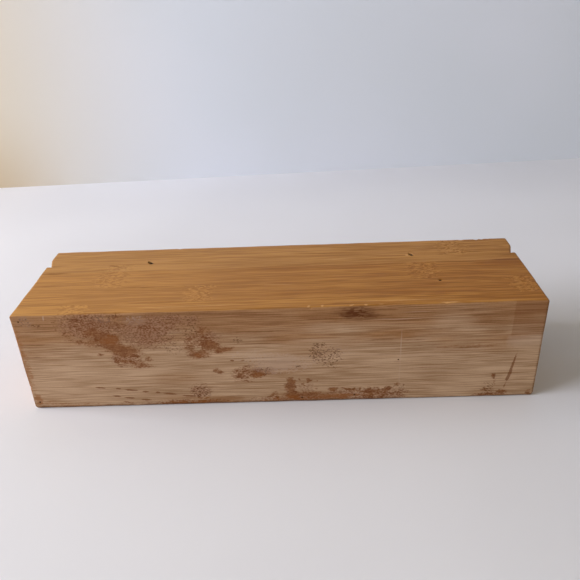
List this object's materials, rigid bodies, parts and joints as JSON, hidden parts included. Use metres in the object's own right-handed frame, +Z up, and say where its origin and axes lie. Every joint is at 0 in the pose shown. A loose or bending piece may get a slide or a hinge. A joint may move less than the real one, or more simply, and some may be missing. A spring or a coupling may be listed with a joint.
{
  "type": "magnetic knife rack",
  "caption": "Free-standing laminated bamboo block that holds kitchen knives by hidden magnets behind one long face, with a V grip notch in each end.",
  "frame": {"origin": "middle of the face that the block rests on, at the height of that face", "axes": "+X along the block's length, +Y from the stained front face towards the rear board, +Z up through the layers to the face with the nail holes"},
  "size_m": [0.27, 0.075, 0.059],
  "materials": {
    "golden_bamboo": "oiled, worn satin",
    "stained_bamboo": "washed out, water-stained, matte",
    "magnet_nickel": "nickel plated",
    "backing_steel": "mill finish",
    "nail_iron": "rusted dark"
  },
  "bodies": {
    "root": {"layer_1_front_strip": "stained_bamboo", "layer_1_second_strip": "golden_bamboo", "layer_1_third_strip": "golden_bamboo", "layer_1_rear_strip": "golden_bamboo", "layer_2_front_strip": "stained_bamboo", "layer_2_second_strip": "golden_bamboo", "layer_2_third_strip": "golden_bamboo", "layer_2_fourth_strip": "golden_bamboo", "layer_2_rear_strip": "golden_bamboo", "layer_3_front_strip": "stained_bamboo", "layer_3_second_strip": "golden_bamboo", "layer_3_third_strip": "golden_bamboo", "layer_3_rear_strip": "golden_bamboo", "layer_4_front_strip": "stained_bamboo", "layer_4_second_strip": "golden_bamboo", "layer_4_third_strip": "golden_bamboo", "layer_4_fourth_strip": "golden_bamboo", "layer_4_rear_strip": "golden_bamboo", "layer_5_front_strip": "stained_bamboo", "layer_5_second_strip": "golden_bamboo", "layer_5_third_strip": "golden_bamboo", "layer_5_rear_strip": "golden_bamboo", "layer_6_front_strip": "stained_bamboo", "layer_6_second_strip": "golden_bamboo", "layer_6_third_strip": "golden_bamboo", "layer_6_fourth_strip": "golden_bamboo", "layer_6_rear_strip": "golden_bamboo", "layer_7_front_strip": "stained_bamboo", "layer_7_second_strip": "golden_bamboo", "layer_7_third_strip": "golden_bamboo", "layer_7_rear_strip": "golden_bamboo", "layer_8_front_strip": "stained_bamboo", "layer_8_second_strip": "golden_bamboo", "layer_8_third_strip": "golden_bamboo", "layer_8_fourth_strip": "golden_bamboo", "layer_8_rear_strip": "golden_bamboo", "magnet_1": "magnet_nickel", "magnet_2": "magnet_nickel", "magnet_3": "magnet_nickel", "magnet_4": "magnet_nickel", "magnet_5": "magnet_nickel", "magnet_6": "magnet_nickel", "magnet_7": "magnet_nickel", "magnet_8": "magnet_nickel", "backing_strip": "backing_steel", "brad_nails": "nail_iron"}
  },
  "joints": []
}
